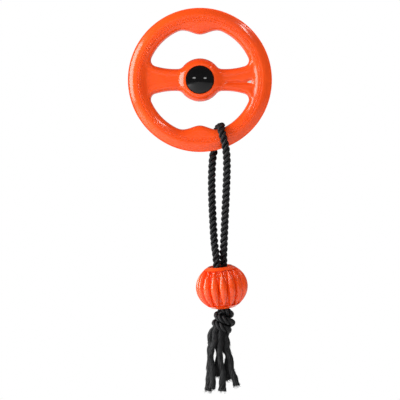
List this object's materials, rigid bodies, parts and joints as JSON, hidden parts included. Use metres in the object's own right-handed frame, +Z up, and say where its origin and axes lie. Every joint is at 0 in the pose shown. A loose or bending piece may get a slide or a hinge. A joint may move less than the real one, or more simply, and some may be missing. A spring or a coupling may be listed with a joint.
{
  "type": "floating ring dog toy",
  "caption": "Steering-wheel shaped floating dog toy with a horn button, and a rope looped over its rim that carries a ribbed ball and a knotted tassel.",
  "frame": {"origin": "inside of the rim's top, at the middle of the finger grip, where the toy hangs", "axes": "+Z up along the hanging rope's run, -Y towards the toy's front with the horn button, +X to the right seen from the front"},
  "size_m": [0.18, 0.0646, 0.4785],
  "materials": {
    "orange_rubber": "glossy moulded",
    "black_dome": "high gloss",
    "closed_cell_foam": "matt, cellular",
    "squeaker_plastic": "satin",
    "charcoal_rope": "twisted yarn"
  },
  "bodies": {
    "ring": {"ring_front_skin": "orange_rubber", "ring_rear_skin": "orange_rubber", "foam_core": "closed_cell_foam", "squeaker_body": "squeaker_plastic", "squeaker_reed": "squeaker_plastic", "rear_plug": "orange_rubber"},
    "horn": {"horn_button": "black_dome"},
    "bight": {"rope_bight": "charcoal_rope"},
    "rope": {"rope_leg_front": "charcoal_rope", "rope_leg_rear": "charcoal_rope", "knot": "charcoal_rope"},
    "ball": {"ball": "orange_rubber"},
    "tassel": {"tassel_strand_1": "charcoal_rope", "tassel_strand_2": "charcoal_rope", "tassel_strand_3": "charcoal_rope", "tassel_strand_4": "charcoal_rope", "tassel_strand_5": "charcoal_rope", "tassel_strand_6": "charcoal_rope"}
  },
  "joints": [
    {"name": "horn_press", "type": "slide", "parent": "ring", "child": "horn", "axis": [0, 1, 0], "range_m": [0, 0.003], "stiffness_N_per_m": 1500, "springref_m": -0.0005},
    {"name": "loop_travel", "type": "hinge", "parent": "ring", "child": "bight", "pos_m": [0, 0, -0.0568], "axis": [0, -1, 0], "range_deg": [0, 35]},
    {"name": "rope_swing", "type": "hinge", "parent": "bight", "child": "rope", "pos_m": [0.02612, 0, -0.13056], "axis": [0.9426, 0, 0.3338], "range_deg": [-30, 30], "deforming": ["rope_bight"]},
    {"name": "ball_slide", "type": "slide", "parent": "rope", "child": "ball", "axis": [-0.0986, -0.1219, 0.9876], "range_m": [0, 0.1], "deforming": ["rope_leg_front", "rope_leg_rear"]},
    {"name": "tassel_swing", "type": "hinge", "parent": "rope", "child": "tassel", "pos_m": [0.0294, 0.0029, -0.3719], "axis": [1, 0, 0], "range_deg": [-30, 30], "deforming": ["tassel_strand_1", "tassel_strand_2", "tassel_strand_3", "tassel_strand_4", "tassel_strand_5", "tassel_strand_6"]}
  ]
}
